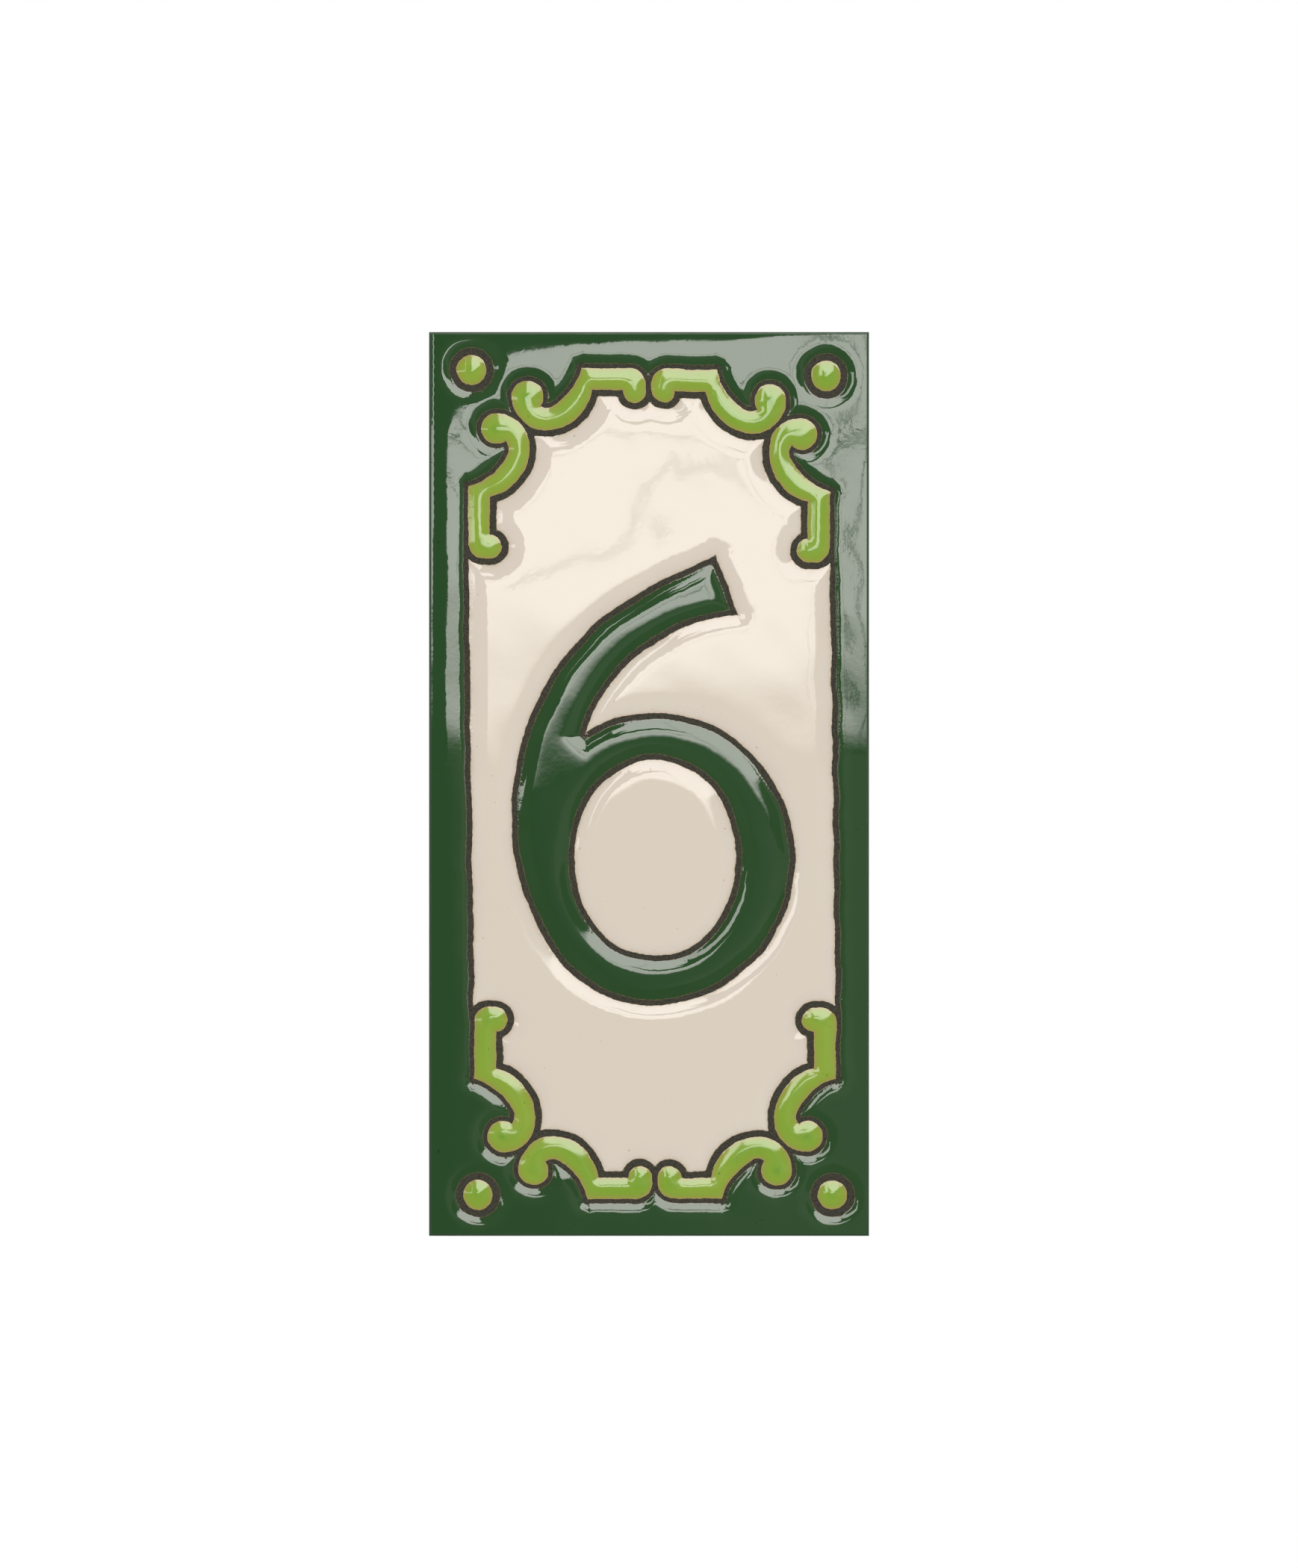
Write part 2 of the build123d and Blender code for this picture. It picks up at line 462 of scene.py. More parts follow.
class Face:
    """The face's pattern: which glaze is where, and how far in from its edge a point lies."""

    def __init__(self):
        corners = [(True, True), (False, True), (False, False), (True, False)]
        scrolls = []
        dots = []
        opening = []
        for right, upper in corners:
            shapes, inside = corner_shapes(right, upper)
            scrolls.extend(shapes[:2])
            dots.extend(shapes[2:])
            opening.append(inside if right == upper else inside[::-1])
        digit_bowl = bowl_centre * digit_height
        self.scrolls = Outline(scrolls)
        self.dots = Outline(dots)
        self.digit = Outline([digit_edge_points()])
        self.bowl = Outline([oval(digit_bowl, bowl_width, bowl_height, bowl_end_share * bowl_width)])
        self.columns = round(tile_width / film_grid) + 1
        self.rows = round(tile_height / film_grid) + 1
        self.in_panel = self.fill(np.concatenate(opening))

    def cell(self, points):
        """Column and row of points on the grid, as real numbers."""
        column = (points.real / tile_width + 0.5) * (self.columns - 1)
        row = (points.imag / tile_height + 0.5) * (self.rows - 1)
        return np.clip(column, 0, self.columns - 1.001), np.clip(row, 0, self.rows - 1.001)

    def fill(self, loop):
        """Grid points inside a closed outline, by counting crossings along each row."""
        flips = np.zeros((self.rows, self.columns + 1), int)
        column, row = self.cell(loop)
        for x0, z0, x1, z1 in zip(column, row, np.roll(column, -1), np.roll(row, -1)):
            first, last = sorted((z0, z1))
            for line in range(math.ceil(first), math.ceil(last)):
                crossing = x0 + (x1 - x0) * (line - z0) / (z1 - z0)
                flips[line, math.ceil(crossing)] += 1
        return np.cumsum(flips, axis=1)[:, :-1] % 2 == 1

    def grid_points(self):
        """Points of the grid, by row and column."""
        x = np.linspace(-tile_width / 2, tile_width / 2, self.columns)
        z = np.linspace(-tile_height / 2, tile_height / 2, self.rows)
        return x[None, :] + 1j * z[:, None]

    def side_line(self, points):
        """Depth inside the lines down the sides of the panel."""
        share = np.clip(0.5 - points.imag / (2 * side_line_end), 0, 1)
        width = side_line_width(points.imag)
        depth = np.full(points.shape, -np.inf)
        for side in (1, -1):
            nearest = side * (side_edge + width / 2) + lower_row_shift * share
            nearest = nearest + 1j * np.clip(points.imag, -side_line_end, side_line_end)
            depth = np.maximum(depth, width / 2 - np.abs(points - nearest))
        return depth

    def survey(self, points):
        """Glaze at each point, distance in from its edge, below 0 in the line, and nearest glaze."""
        column, row = self.cell(points)
        inside = self.in_panel[np.rint(row).astype(int), np.rint(column).astype(int)]
        scroll_depth = self.scrolls.signed(points)
        dot_depth = self.dots.signed(points)
        digit = np.minimum(self.digit.signed(points), -self.bowl.signed(points))
        ground = np.where(inside, -line_width, -frame_line_width) - scroll_depth
        ground = np.minimum.reduce(
            [ground, -dot_line_width - dot_depth, -self.side_line(points), -digit]
        )
        depths = np.stack([ground, scroll_depth, digit - digit_line_width, dot_depth])
        glaze = np.array([FRAME, BEAD, DIGIT, DOT])[depths.argmax(axis=0)]
        glaze = np.where((glaze == FRAME) & inside, PANEL, glaze)
        depth = depths.max(axis=0)
        return np.where(depth > 0, glaze, LINE), depth, glaze


def edge_curves(face):
    """Curves that may bound a glaze, as points with a direction across the curve."""
    curves = [(loop, outward(loop)) for loop in face.scrolls.loops + face.dots.loops]
    for width in (line_width, frame_line_width):
        curves += [around(loop, width) for loop in face.scrolls.loops]
    curves += [around(loop, dot_line_width) for loop in face.dots.loops]
    outer = face.digit.loops[0]
    bowl = face.bowl.loops[0]
    curves += [(outer, outward(outer)), around(outer, -digit_line_width)]
    curves += [(bowl, outward(bowl)), around(bowl, digit_line_width)]
    reach = np.linspace(side_line_end, -side_line_end, math.ceil(2 * side_line_end / edge_step))
    shift = lower_row_shift * (0.5 - reach / (2 * side_line_end))
    for side in (1, -1):
        for edge in (side_edge, side_edge + side_line_width(reach)):
            line = side * edge + shift + 1j * reach
            curves.append((line, np.ones(len(line), complex)))
    return curves


def around(loop, distance):
    """Curve at a distance outside a closed outline, with its corners rounded."""
    normal = outward(loop)
    before = np.roll(normal, 1)
    turn = np.angle(normal / before)
    points = []
    directions = []
    for start, first, angle in zip(np.roll(loop, 1), before, turn):
        steps = max(1, math.ceil(abs(angle * distance) / edge_step))
        for step in range(steps):
            direction = first * cmath.exp(1j * angle * step / steps)
            points.append(start + direction * distance)
            directions.append(direction)
    return np.array(points), np.array(directions)


def sheet_points(face):
    """Points of the front's mesh, and the pairs of them that an edge has to join."""
    points = [border_points()]
    pairs = []
    count = len(points[0])
    normals = []
    for curve, normal in edge_curves(face):
        _, depth, _ = face.survey(curve)
        kept = np.abs(depth) < edge_leeway
        index = np.cumsum(kept) - 1 + count
        joined = kept & np.roll(kept, -1) & (np.abs(np.roll(curve, -1) - curve) < 2 * edge_step)
        pairs += [(a, b) for a, b in zip(index[joined], np.roll(index, -1)[joined])]
        points.append(curve[kept])
        normals.append(normal[kept])
        count += kept.sum()
    edge = np.concatenate(points[1:])
    normal = np.concatenate(normals)
    for row in glaze_rows + [-row for row in line_rows]:
        for side in (1, -1):
            ring = edge + side * abs(row) * normal
            _, depth, _ = face.survey(ring)
            points.append(ring[np.abs(depth - row) < row_leeway * abs(row)])
    field = lattice(tile_width / 2, tile_height / 2, field_step)
    _, depth, _ = face.survey(field)
    points.append(field[depth > field_depth])
    field = lattice(digit_height / 2, digit_height / 2, digit_step)
    glaze, depth, _ = face.survey(field)
    points.append(field[(glaze == DIGIT) & (depth > digit_depth)])
    return np.concatenate(points), pairs


def lattice(half_width, half_height, step):
    """Points in staggered rows over a rectangle about the origin."""
    rows = np.arange(-half_height, half_height, step * math.sqrt(0.75))
    columns = np.arange(-half_width, half_width, step)
    stagger = np.where(np.arange(len(rows)) % 2, step / 2, 0.0)
    return (columns[None, :] + stagger[:, None] + 1j * rows[:, None]).ravel()


def border_points():
    """Points round the border of the front's mesh, where the tile's edge begins to round over."""
    corner = complex(tile_width / 2 - edge_round, tile_height / 2 - edge_round)
    pen = Pen(corner.conjugate())
    for end in (corner, -corner.conjugate(), -corner, corner.conjugate()):
        pen.line(end)
    return np.array(pen.points)


def thinned(points, pairs, spacing):
    """Points inside the border, at most one to a small square, with the pairs numbered anew."""
    squares = np.rint(plane_points(points) / spacing).astype(int)
    _, first = np.unique(squares, axis=0, return_index=True)
    kept = np.zeros(len(points), bool)
    kept[first] = True
    kept &= inset(points) >= edge_round - border_leeway
    kept[:len(border_points())] = True
    number = np.cumsum(kept) - 1
    pairs = [(number[a], number[b]) for a, b in pairs if kept[a] and kept[b]]
    return points[kept], pairs


def triangulate(points, pairs):
    """Delaunay triangles over points that keep the given edges."""
    coords = [Vector((point.real, point.imag)) for point in points]
    edges = [(int(a), int(b)) for a, b in pairs]
    verts, _, faces, _, _, _ = geometry.delaunay_2d_cdt(coords, edges, [], 0, merging)
    return np.array([complex(v.x, v.y) for v in verts]), np.array([list(f) for f in faces])


def ripples(points, wavelength, seed):
    """Smooth unevenness of about a wavelength, with an effective height of 1."""
    rng = np.random.default_rng(seed)
    total = np.zeros(points.shape)
    for _ in range(ripple_waves):
        length = wavelength * rng.uniform(*ripple_spread)
        wave = cmath.rect(2 * math.pi / length, rng.uniform(0, 2 * math.pi))
        total += np.sin((points * wave.conjugate()).real + rng.uniform(0, 2 * math.pi))
    return total * math.sqrt(2 / ripple_waves)


def by_glaze(values, glaze):
    """Value of each glaze, spread over an array of glazes."""
    return np.array([values[kind] for kind in range(len(values))])[glaze]


def glaze_film(face):
    """Height of the glaze on the grid: it levels out inside and is drawn down to its edges."""
    points = face.grid_points()
    _, depth, nearest = face.survey(points.ravel())
    depth = depth.reshape(points.shape)
    nearest = nearest.reshape(points.shape)
    share = np.clip(0.5 + depth / film_grid, 0, 1)
    rail = np.clip((rail_end - np.abs(points.imag)) / rail_blend, 0, 1) * (nearest == FRAME)
    shoulder = by_glaze(film_shoulder, nearest) * (1 - rail) + rail_shoulder * rail
    climb = np.vectorize(math.erf)(np.clip(depth, 0, None) / shoulder)
    level = by_glaze(film_height, nearest) * climb * share
    bend = by_glaze(film_bend, nearest) * (1 - rail) + rail_bend * rail
    hold = 1 + line_hold * (1 - share)
    height = settle(level, hold, (bend / film_grid) ** 2)
    height -= end_fall * np.exp((np.abs(points.imag) - tile_height / 2) / edge_fall_reach)
    height -= right_fall * np.exp((points.real - tile_width / 2) / edge_fall_reach)
    height -= left_fall * np.exp((-points.real - tile_width / 2) / left_fall_reach)
    for wavelength, swell in film_swells.items():
        height += share * swell * ripples(points, wavelength, seed=round(wavelength))
    return height


def settle(level, hold, bend):
    """Solves hold * height - div(bend * grad(height)) = level by conjugate gradients."""
    across = (bend[:, 1:] + bend[:, :-1]) / 2
    along = (bend[1:] + bend[:-1]) / 2

    def pull(height):
        flow_across = across * np.diff(height, axis=1)
        flow_along = along * np.diff(height, axis=0)
        out = hold * height
        out[:, :-1] -= flow_across
        out[:, 1:] += flow_across
        out[:-1] -= flow_along
        out[1:] += flow_along
        return out

    diagonal = hold + 4 * bend
    height = level.copy()
    rest = level - pull(height)
    guess = rest / diagonal
    step = guess.copy()
    weight = (rest * guess).sum()
    for _ in range(film_rounds):
        pulled = pull(step)
        amount = weight / (step * pulled).sum()
        height += amount * step
        rest -= amount * pulled
        guess = rest / diagonal
        renewed = (rest * guess).sum()
        step = guess + step * (renewed / weight)
        weight = renewed
    return height


def sample(face, grid, points):
    """Grid values between grid points."""
    column, row = face.cell(points)
    left = column.astype(int)
    low = row.astype(int)
    right_share = column - left
    high_share = row - low
    lower = grid[low, left] * (1 - right_share) + grid[low, left + 1] * right_share
    upper = grid[low + 1, left] * (1 - right_share) + grid[low + 1, left + 1] * right_share
    return lower * (1 - high_share) + upper * high_share


def inset(points):
    """Distance in from the tile's edge."""
    return np.minimum(tile_width / 2 - np.abs(points.real), tile_height / 2 - np.abs(points.imag))


def warp(points):
    """Hand-laid unevenness of the pattern, nothing at the border."""
    fade = np.clip((inset(points) - edge_round) / border_fade, 0, 1)
    shift = np.zeros(points.shape, complex)
    for wavelength, size in line_wobble.items():
        seed = round(100 * wavelength)
        shift += size * (ripples(points, wavelength, seed) + 1j * ripples(points, wavelength, seed + 1))
    upper_share = np.clip(points.imag / lean_reach, 0, 1)
    shift -= 1j * upper_lean * upper_share * points.real / (tile_width / 2)
    return points + shift * fade


class Shell:
    """The tile's surface as it is put together: corners, faces, and what they carry."""

    def __init__(self):
        self.corners = []
        self.thin = []
        self.deep = []
        self.faces = []
        self.slots = []
        self.normals = []
        self.flat = []

    def add_corners(self, laid, thin, deep=0.0):
        """Corners with how thin and how deep the glaze is there, and their numbers."""
        first = sum(len(block) for block in self.corners)
        self.corners.append(laid)
        self.thin.append(np.broadcast_to(thin, len(laid)))
        self.deep.append(np.broadcast_to(deep, len(laid)))
        return np.arange(first, first + len(laid))

    def add_faces(self, faces, slots, normals, flat):
        """Faces with a material each, and a normal and a place on the flat sheet for each corner."""
        self.faces.extend(faces.tolist())
        self.slots.append(np.broadcast_to(slots, len(faces)))
        self.normals.append(normals.reshape(-1, 3))
        self.flat.append(flat.ravel())


def places(points, depth):
    """Points on the face and their distance from the back, as places in metres."""
    return np.stack([points.real, -np.broadcast_to(depth, points.shape), points.imag], axis=-1) * MM


def slope_normals(slope):
    """Normals of the face where the glaze climbs by a slope, as a complex number of x and z."""
    normals = np.stack([-slope.real, -np.ones(slope.shape), -slope.imag], axis=-1)
    return normals / np.linalg.norm(normals, axis=-1, keepdims=True)


def add_front(shell, face):
    """The glazed face, and the numbers and levels of the corners along its border."""
    points, pairs = thinned(*sheet_points(face), thinning)
    points, triangles = triangulate(points, pairs)
    film = glaze_film(face)
    climb_z, climb_x = np.gradient(film, film_grid)
    _, depth, _ = face.survey(points)
    inside = np.clip(depth, 0, None)
    height = sample(face, film, points) * (1 - np.exp(-inside / contact_width))
    middle = points[triangles].mean(axis=1)
    glaze, _, _ = face.survey(middle)
    slope = sample(face, climb_x, points) + 1j * sample(face, climb_z, points)
    middle_slope = sample(face, climb_x, middle) + 1j * sample(face, climb_z, middle)
    glazed = glaze != LINE
    edge_slope = mean_slope(slope, triangles[glazed], middle_slope[glazed])
    slope = np.where(inside < edge_reach, edge_slope, slope)
    normals = slope_normals(slope)[triangles]
    normals[~glazed] = (0.0, -1.0, 0.0)
    deep = np.clip((inside - deep_from) / (deep_to - deep_from), 0, 1)
    laid = places(warp(points), body_thickness + height)
    corners = shell.add_corners(laid, np.exp(-inside / thin_reach), deep)
    shell.add_faces(corners[triangles], by_glaze(slot_of, glaze), normals, points[triangles])
    border = len(border_points())
    return points[:border], corners[:border], (body_thickness + height)[:border]


def mean_slope(slope, triangles, middle_slope):
    """Slope at each corner from the middles of the triangles round it, where there are any."""
    total = np.zeros(len(slope), complex)
    count = np.zeros(len(slope))
    for corner in triangles.T:
        np.add.at(total, corner, middle_slope)
        np.add.at(count, corner, 1)
    return np.where(count > 0, total / np.maximum(count, 1), slope)


def border_steps(border):
    """Step outward at each border point, and the way that the side after it faces."""
    half = complex(tile_width / 2 - edge_round, tile_height / 2 - edge_round)
    aside = np.where(np.isclose(np.abs(border.real), half.real), np.sign(border.real), 0)
    upward = np.where(np.isclose(np.abs(border.imag), half.imag), np.sign(border.imag), 0)
    step = aside + 1j * upward
    mean = (step + np.roll(step, -1)) / 2
    facing = np.where(np.isclose(np.abs(mean.real), 1), np.sign(mean.real), 1j * np.sign(mean.imag))
    return step, facing


def side_rows(border, level, start_turn):
    """Rows over the edge and down to the back: outset, distance from the back, turn and material."""
    run_wave = ripples(border, glaze_run_wavelength, glaze_run_seed)
    run = body_thickness - glaze_run + glaze_run_wave * run_wave
    radius = edge_round / (1 - math.sin(start_turn))
    rows = []
    for turn in np.linspace(start_turn, math.pi / 2, round_steps + 1)[1:]:
        outset = radius * (math.sin(turn) - math.sin(start_turn))
        drop = radius * (math.cos(start_turn) - math.cos(turn))
        rows.append((outset, level - drop, math.degrees(turn), EDGE))
    rows.append((edge_round, run, 90, EDGE))
    rows.append((edge_round, body_thickness / 2, 90, BISCUIT))
    rows.append((edge_round, back_edge_chamfer, 90, BISCUIT))
    rows.append((edge_round - back_edge_chamfer, 0.0, 135, BISCUIT))
    return rows


def add_sides(shell, border, first, level):
    """The rounded edge, the sides and the back's chamfer, and the last row's points and numbers."""
    outward_step, facing = border_steps(border)
    following = np.roll(np.arange(len(border)), -1)
    mean_fall = (end_fall + right_fall) / 2
    start_turn = math.atan(mean_fall / edge_fall_reach * math.exp(-edge_round / edge_fall_reach))
    previous = first
    previous_turn = math.degrees(start_turn)
    previous_place = (0.0, level)
    travelled = 0.0
    for outset, depth, turn, slot in side_rows(border, level, start_turn):
        points = border + outset * outward_step
        corners = shell.add_corners(places(points, depth), min(1.0, turn / 90) * edge_thinness)
        advance = np.hypot(outset - previous_place[0], depth - previous_place[1]).mean()
        near, far = [border + (travelled + step) * outward_step for step in (0.0, advance)]
        quads = np.stack([previous, corners, corners[following], previous[following]], axis=-1)
        turns = [previous_turn if turn <= 90 else turn, turn]
        normals = np.stack([side_normals(facing, turns[k]) for k in (0, 1, 1, 0)], axis=1)
        flat = np.stack([near, far, far[following], near[following]], axis=-1)
        shell.add_faces(quads, slot, normals, flat)
        previous = corners
        previous_turn = turn
        previous_place = (outset, depth)
        travelled += advance
    return points, corners


def side_normals(facing, turn):
    """Normals that turn from the front to a side and on to the back."""
    angle = math.radians(turn)
    out = facing * math.sin(angle)
    return np.stack([out.real, np.full(facing.shape, -math.cos(angle)), out.imag], axis=-1)


def add_back(shell, edge, edge_corners):
    """The plain flat back."""
    half_width = np.abs(edge.real).max()
    half_height = np.abs(edge.imag).max()
    field = lattice(half_width, half_height, back_step)
    clear = np.minimum(half_width - np.abs(field.real), half_height - np.abs(field.imag))
    field = field[clear > back_step / 4]
    points, triangles = triangulate(np.concatenate([edge, field]), [])
    inner = shell.add_corners(places(points[len(edge):], 0.0), 0.0)
    numbers = np.concatenate([edge_corners, inner])
    triangles = triangles[:, ::-1]
    normals = np.zeros((len(triangles), 3, 3))
    normals[..., 1] = 1.0
    shell.add_faces(numbers[triangles], BISCUIT, normals, points[triangles] + back_on_sheet)


def build_tile():
    """The tile as one mesh object."""
    shell = Shell()
    face = Face()
    border, first, level = add_front(shell, face)
    edge, edge_corners = add_sides(shell, border, first, level)
    add_back(shell, edge, edge_corners)
    mesh = bpy.data.meshes.new("tile_glazed")
    mesh.from_pydata(np.concatenate(shell.corners).tolist(), [], shell.faces)
    in_slots = [line_material, dark_green_glaze, cream_glaze, light_green_glaze]
    for make in in_slots + [shaded_edge_glaze, biscuit_material]:
        mesh.materials.append(make())
    mesh.polygons.foreach_set("material_index", np.concatenate(shell.slots).astype(np.int32))
    for name, values in (("thin", shell.thin), ("deep", shell.deep)):
        attribute = mesh.attributes.new(name, "FLOAT", "POINT")
        attribute.data.foreach_set("value", np.concatenate(values).astype(np.float32))
    flat = plane_points(np.concatenate(shell.flat)) / sheet_size + 0.5
    flat[:, 0] += sheet_shift
    mesh.uv_layers.new(name="OFBake").data.foreach_set("uv", flat.astype(np.float32).ravel())
    mesh.shade_smooth()
    mesh.normals_split_custom_set(np.concatenate(shell.normals).tolist())
    tile = bpy.data.objects.new("tile_glazed", mesh)
    bpy.context.scene.collection.objects.link(tile)
    return tile


def srgb(red, green, blue):
    """Linear colour of display values from 0 to 255."""
    shares = [value / 255 for value in (red, green, blue)]
    linear = [s / 12.92 if s <= 0.04045 else ((s + 0.055) / 1.055) ** 2.4 for s in shares]
    return (*linear, 1.0)


class Graph:
    """A cleared node tree, and ways to put nodes into it."""

    def __init__(self, tree):
        self.tree = tree
        self.tree.nodes.clear()

    def node(self, kind, settings=None, inputs=None):
        """New node, with values or other nodes' outputs fed into its inputs."""
        made = self.tree.nodes.new(kind)
        for name, value in (settings or {}).items():
            setattr(made, name, value)
        for name, value in (inputs or {}).items():
            self.feed(made.inputs[name], value)
        return made

    def feed(self, socket, value):
        """Links an output to an input, or sets the input to a value."""
        if isinstance(value, bpy.types.NodeSocket):
            self.tree.links.new(value, socket)
        else:
            socket.default_value = value

    def math(self, operation, first, second):
        """Result of a sum, a product or the like of two values."""
        return self.node("ShaderNodeMath", {"operation": operation}, {0: first, 1: second}).outputs[0]

    def sum(self, first, second):
        return self.math("ADD", first, second)

    def product(self, first, second):
        return self.math("MULTIPLY", first, second)

    def span(self, value, low, high, to_low=0.0, to_high=1.0, curve="LINEAR"):
        """A value's span from low to high, stretched to another span and held there."""
        ends = {"From Min": low, "From Max": high, "To Min": to_low, "To Max": to_high}
        kind = {"interpolation_type": curve}
        return self.node("ShaderNodeMapRange", kind, {"Value": value, **ends}).outputs["Result"]

    def along(self, axis):
        """Place along one of the object's axes, in metres."""
        place = self.node("ShaderNodeTexCoord").outputs["Object"]
        return self.node("ShaderNodeSeparateXYZ", inputs={"Vector": place}).outputs[axis]


class Paint(Graph):
    """A material with a principled shader, and the nodes that feed it."""

    def __init__(self, name):
        self.material = bpy.data.materials.new(name)
        self.material.use_nodes = True
        super().__init__(self.material.node_tree)
        self.shader = self.node("ShaderNodeBsdfPrincipled")
        self.node("ShaderNodeOutputMaterial", inputs={"Surface": self.shader.outputs["BSDF"]})
        self.place = self.node("ShaderNodeTexCoord").outputs["Object"]

    def noise(self, size, detail=2.0):
        """Cloudy values from 0 to 1 with spots of about a size in millimetres."""
        inputs = {"Vector": self.place, "Scale": 1 / (size * MM), "Detail": detail, "Distortion": 0.0}
        return self.node("ShaderNodeTexNoise", inputs=inputs).outputs["Fac"]

    def blend(self, share, first, second):
        """Colour between two colours."""
        made = self.node("ShaderNodeMix", {"data_type": "RGBA"}, {0: share, 6: first, 7: second})
        return made.outputs[2]

    def attribute(self, name):
        """Value that the mesh carries at each corner."""
        return self.node("ShaderNodeAttribute", {"attribute_name": name}).outputs["Fac"]

    def finish(self, colour, roughness, height, index=1.5):
        """Sets colour and roughness, and a relief from a height in millimetres."""
        self.feed(self.shader.inputs["Base Color"], colour)
        self.feed(self.shader.inputs["Roughness"], roughness)
        self.feed(self.shader.inputs["IOR"], index)
        bump = self.node("ShaderNodeBump", inputs={"Height": height, "Distance": MM, "Strength": 1.0})
        self.feed(self.shader.inputs["Normal"], bump.outputs["Normal"])
        return self.material


def glaze(
    name, body, drift, deep_tone, thin_tone, rim_tone, speck_tone, speck_level, index,
    thin_from=0.12, blur=0.03,
):
    """Glossy glaze: clouded body, thinner tone at its edge, a bare rim, specks and fine ripples."""
    paint = Paint(name)
    bare = paint.attribute("thin")
    grain = paint.span(paint.noise(thin_grain_size), *middle_span, -thin_grain, thin_grain)
    thin = paint.sum(bare, grain)
    colour = paint.blend(paint.span(paint.noise(cloud_size, 3.0), *cloud_span), body, drift)
    colour = paint.blend(paint.attribute("deep"), colour, deep_tone)
    colour = paint.blend(paint.span(thin, thin_from, thin_full), colour, thin_tone)
    colour = paint.blend(paint.span(thin, rim_from, 1.0), colour, rim_tone)
    speck = paint.span(paint.noise(speck_size, 0.0), speck_level, speck_level + speck_softness)
    colour = paint.blend(speck, colour, speck_tone)
    ripple = paint.product(paint.noise(ripple_size, 1.0), ripple_height)
    peel = paint.product(paint.noise(peel_size, 1.0), peel_height)
    pits = paint.product(bare, paint.product(paint.noise(pit_size), pit_height))
    height = paint.sum(paint.sum(ripple, peel), pits)
    low, high = (1 - gloss_spread) * blur, (1 + gloss_spread) * blur
    roughness = paint.span(paint.noise(gloss_size), *middle_span, low, high)
    return paint.finish(colour, roughness, height, index)


def dark_green_glaze():
    """Glaze of the frame and the digit."""
    return glaze(
        "dark_green_glaze",
        body=srgb(44, 75, 42),
        drift=srgb(49, 79, 46),
        deep_tone=srgb(42, 74, 41),
        thin_tone=srgb(52, 76, 44),
        rim_tone=srgb(120, 108, 80),
        speck_tone=srgb(30, 52, 32),
        speck_level=0.86,
        index=1.68,
    )


def shaded_edge_glaze():
    """The frame's glaze where it thins and dulls over the tile's edge, its tones darker than the
    frame's as painted shade.
    """
    return glaze(
        "shaded_edge_glaze",
        # All tones here are darker than the frame glaze's: painted shade over the rounded edge
        body=srgb(38, 68, 38),
        drift=srgb(44, 72, 42),
        deep_tone=srgb(38, 68, 38),
        thin_tone=srgb(50, 68, 42),
        rim_tone=srgb(90, 86, 64),
        speck_tone=srgb(30, 48, 30),
        speck_level=0.86,
        index=1.4,
        blur=0.45,
    )


def light_green_glaze():
    """Glaze of the scrolls and the dots, with wide thin edges."""
    return glaze(
        "light_green_glaze",
        body=srgb(128, 164, 54),
        drift=srgb(140, 168, 60),
        deep_tone=srgb(100, 152, 46),
        thin_tone=srgb(158, 152, 76),
        rim_tone=srgb(192, 156, 114),
        speck_tone=srgb(108, 128, 52),
        speck_level=0.84,
        index=1.65,
        thin_from=0.02,
        blur=0.1,
    )


def cream_glaze():
    """Glaze of the panel."""
    return glaze(
        "cream_glaze",
        body=srgb(218, 208, 193),
        drift=srgb(216, 204, 190),
        deep_tone=srgb(218, 207, 191),
        thin_tone=srgb(206, 191, 172),
        rim_tone=srgb(150, 128, 104),
        speck_tone=srgb(186, 172, 152),
        speck_level=0.85,
        index=1.54,
    )


def line_material():
    """Matt dark line, grainy as fired pigment is."""
    paint = Paint("matt_line")
    grain = paint.noise(line_grain_size, 3.0)
    colour = paint.blend(paint.span(grain, *middle_span), srgb(45, 44, 36), srgb(72, 69, 57))
    return paint.finish(colour, line_roughness, paint.product(grain, line_grain_height), line_index)


def biscuit_material():
    """Unglazed fired clay with fine grain and pits."""
    paint = Paint("biscuit")
    cloud = paint.span(paint.noise(clay_cloud_size, 4.0), *middle_span)
    grain = paint.noise(clay_grain_size, 4.0)
    colour = paint.blend(cloud, srgb(198, 152, 118), srgb(184, 136, 102))
    pits = paint.span(paint.noise(clay_pit_size, 1.0), *clay_pit_span)
    colour = paint.blend(pits, colour, srgb(150, 106, 78))
    height = paint.sum(paint.product(grain, clay_grain_height), paint.product(pits, -clay_pit_depth))
    return paint.finish(colour, clay_roughness, height)


def stage_mesh(name, corners, material):
    """Flat piece of the stage, in metres."""
    mesh = bpy.data.meshes.new(name)
    mesh.from_pydata(corners, [], [tuple(range(len(corners)))])
    mesh.materials.append(material)
    made = bpy.data.objects.new(name, mesh)
    bpy.context.scene.collection.objects.link(made)
    return made


def mirrored(name, corners, material):
    """Flat piece that shows in mirror images only."""
    made = stage_mesh(name, corners, material)
    made.visible_camera = False
    made.visible_shadow = False
    made.visible_diffuse = False


def upright(name, corners, y, material):
    """Mirrored piece that stands across the view, by the x and z of its corners."""
    mirrored(name, [(x, y, z) for x, z in corners], material)


def card(name, low, high, gap, material):
    """Upright rectangle, at a gap before the windows."""
    corners = [low, (low[0], high[1]), high, (high[0], low[1])]
    upright(name, corners, card_y + gap, material)


def level_square(low_x, low_y, high_x, high_y, z):
    """Corners of a level rectangle."""
    return [(low_x, low_y, z), (high_x, low_y, z), (high_x, high_y, z), (low_x, high_y, z)]


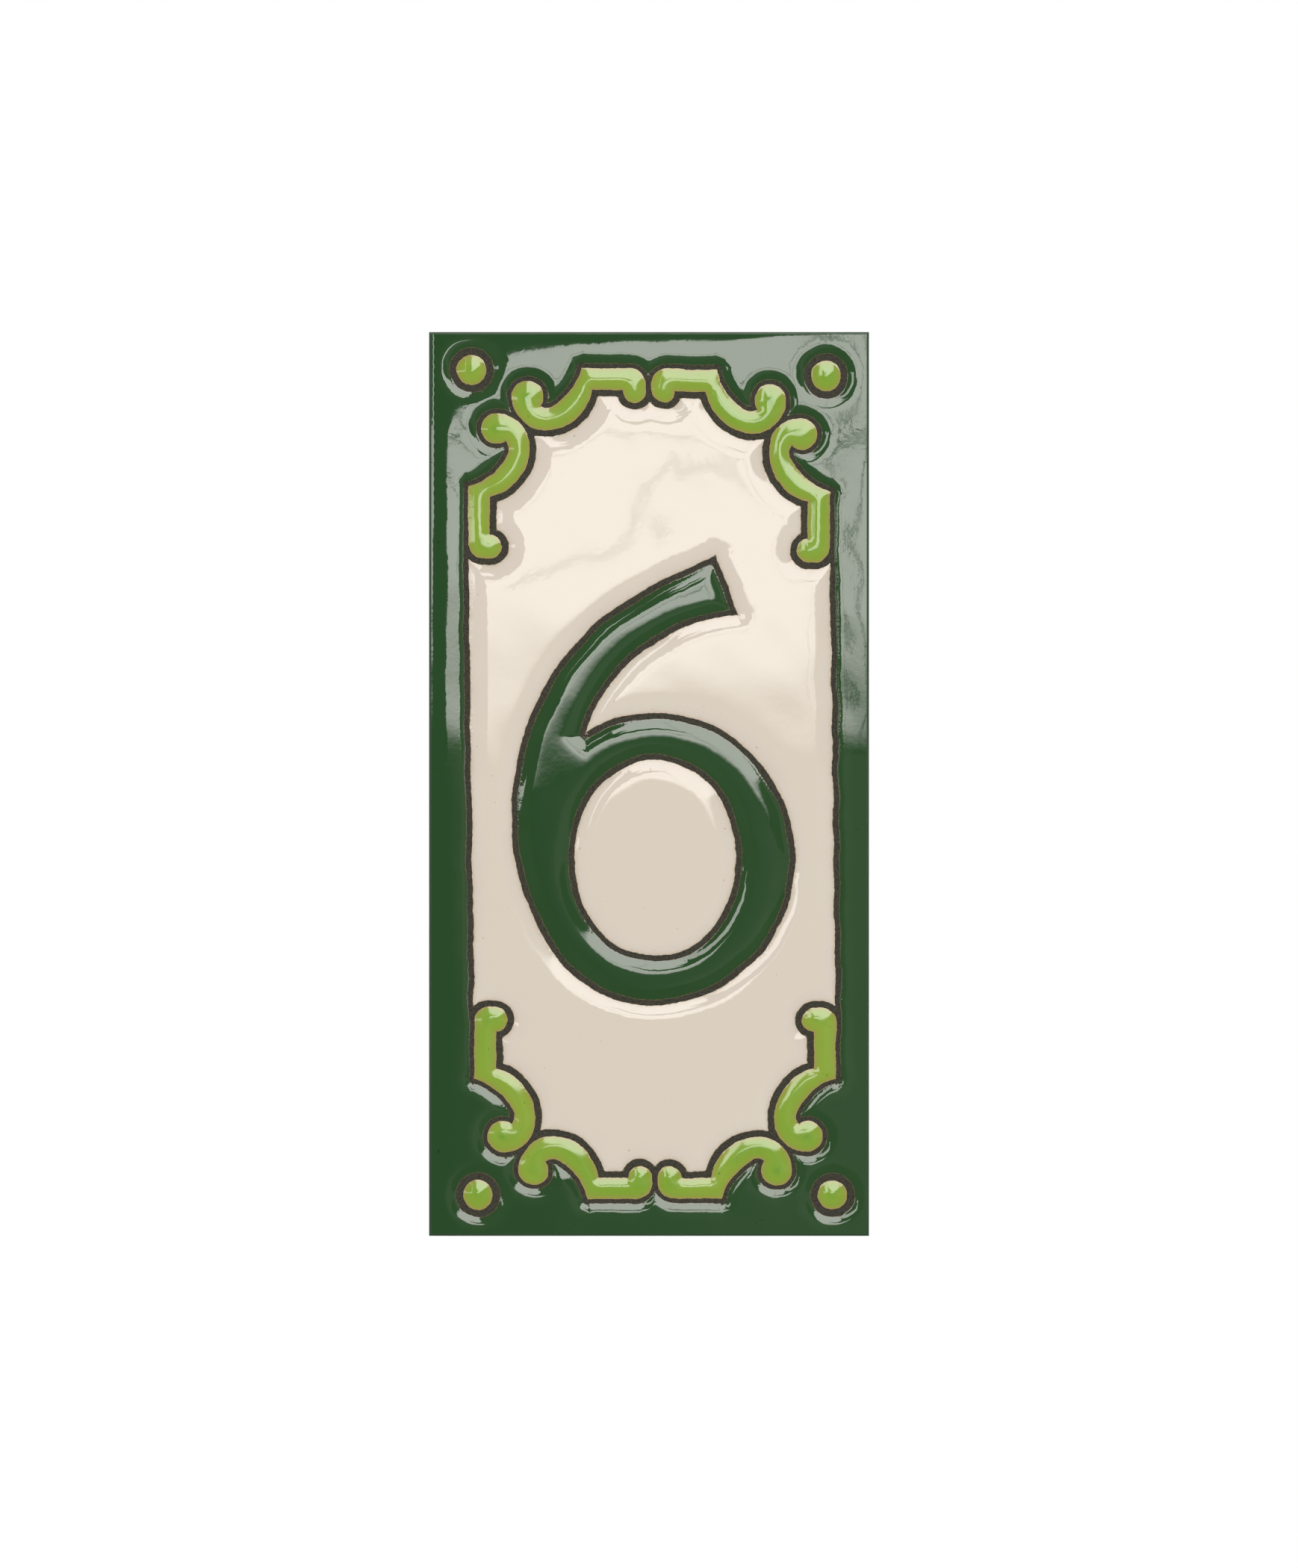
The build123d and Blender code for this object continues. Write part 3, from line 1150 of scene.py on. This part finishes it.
def glow(name, strength):
    """Material that gives off light, of a strength or of one that a function makes."""
    material = bpy.data.materials.new(name)
    material.use_nodes = True
    graph = Graph(material.node_tree)
    value = strength(graph) if callable(strength) else strength
    inputs = {"Color": (*window_tint, 1.0), "Strength": value}
    emission = graph.node("ShaderNodeEmission", inputs=inputs)
    graph.node("ShaderNodeOutputMaterial", inputs={"Surface": emission.outputs["Emission"]})
    return material


def window_glow(name, light):
    """Window light that fades out towards the sill."""

    def fading(graph):
        sill_end = window_sill + sill_climb * (window_right - sill_bend)
        sill = graph.span(graph.along("X"), sill_bend, window_right, window_sill, sill_end)
        above = graph.math("SUBTRACT", graph.along("Z"), sill)
        return graph.span(above, 0.0, sill_shade, 0.0, light, "SMOOTHSTEP")

    return glow(name, fading)


def room_glow():
    """The room's dim light, weaker to the left."""

    def fading(graph):
        return graph.span(graph.along("X"), dim_left, dim_right, dark_light, dim_light)

    return glow("room_light", fading)


def add_transom(material):
    """Dark bar across the window that is slanted below and level above."""
    tip = transom_bend + (transom_high - transom_left_end) / transom_slant
    left = [(transom_left, transom_left_end), (transom_left, transom_high)]
    right = [(tip, transom_high), (transom_bend, transom_left_end)]
    upright("transom", left + right, card_y + bar_gap, material)


def add_branch(material):
    """Thin crooked branch across the window, as short pieces end to end."""
    for (x0, z0), (x1, z1) in zip(branch_points, branch_points[1:]):
        across = branch_thickness / 2 / math.hypot(x1 - x0, z1 - z0)
        aside = across * (z0 - z1)
        upward = across * (x1 - x0)
        corners = [
            (x0 - aside, z0 - upward),
            (x1 - aside, z1 - upward),
            (x1 + aside, z1 + upward),
            (x0 + aside, z0 + upward),
        ]
        upright("branch", corners, card_y + bar_gap, material)


def light_window():
    """Bright windows above the camera with bars, and darkness round them for the glaze to mirror."""
    bright = window_glow("window_light", window_light)
    weaker = window_glow("far_light", far_light)
    dark = glow("dark", dark_light)
    low = -dark_reach
    high = dark_reach
    card("window", (window_left, window_sill), (window_right, window_top), 0.0, bright)
    upright("upper_window", upper_corners, card_y, bright)
    upright("far_window", far_corners, card_y, weaker)
    upright("low_window", low_corners, card_y, weaker)
    upright("post", post_corners, post_y, dark)
    card("dark_room", (low, low), (high, high), room_gap, room_glow())
    add_transom(dark)
    mirrored("dark_ground", level_square(low, low, high, 0.0, ground_z), dark)
    for x in upright_bars:
        card("upright_bar", (x, window_sill), (x + bar_thickness, window_top), bar_gap, dark)
    for z in level_bars:
        card("level_bar", (window_left, z), (window_right, z + bar_thickness), bar_gap, dark)
    add_branch(glow("branch_light", branch_light))


def light_world():
    """Even pale light, with the background white to the camera and in mirror images."""
    world = bpy.data.worlds.new("studio")
    bpy.context.scene.world = world
    world.use_nodes = True
    graph = Graph(world.node_tree)
    path = graph.node("ShaderNodeLightPath")
    seen = path.outputs["Is Camera Ray"]
    for name in ("Is Glossy Ray", "Is Transmission Ray"):
        seen = graph.math("MAXIMUM", seen, path.outputs[name])
    strength = graph.span(seen, 0.0, 1.0, ambient_light, 1.0)
    white = (1.0, 1.0, 1.0, 1.0)
    background = graph.node("ShaderNodeBackground", inputs={"Color": white, "Strength": strength})
    graph.node("ShaderNodeOutputWorld", inputs={"Surface": background.outputs["Background"]})


def make_floor():
    """Plain pale floor below the tile."""
    paint = Paint("floor")
    paint.feed(paint.shader.inputs["Base Color"], srgb(250, 250, 250))
    paint.feed(paint.shader.inputs["Roughness"], floor_roughness)
    reach = floor_reach
    stage_mesh("floor", level_square(-reach, -reach, reach, reach, floor_z), paint.material)


def make_camera():
    """Square on to the face, with the tile as large in the picture as in the photograph."""
    data = bpy.data.cameras.new("camera")
    data.sensor_width = sensor_width
    data.lens = data.sensor_width * camera_distance / picture_height
    data.clip_end = view_reach
    camera = bpy.data.objects.new("camera", data)
    camera.location = (0.0, tile_low.y - camera_distance, 0.0)
    camera.rotation_euler = (math.radians(90), 0.0, 0.0)
    bpy.context.scene.collection.objects.link(camera)
    bpy.context.scene.camera = camera


bpy.context.scene.view_settings.view_transform = "Standard"
tile = build_tile()
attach(tile, "root")
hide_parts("tile")
make_floor()
light_window()
light_world()
make_camera()
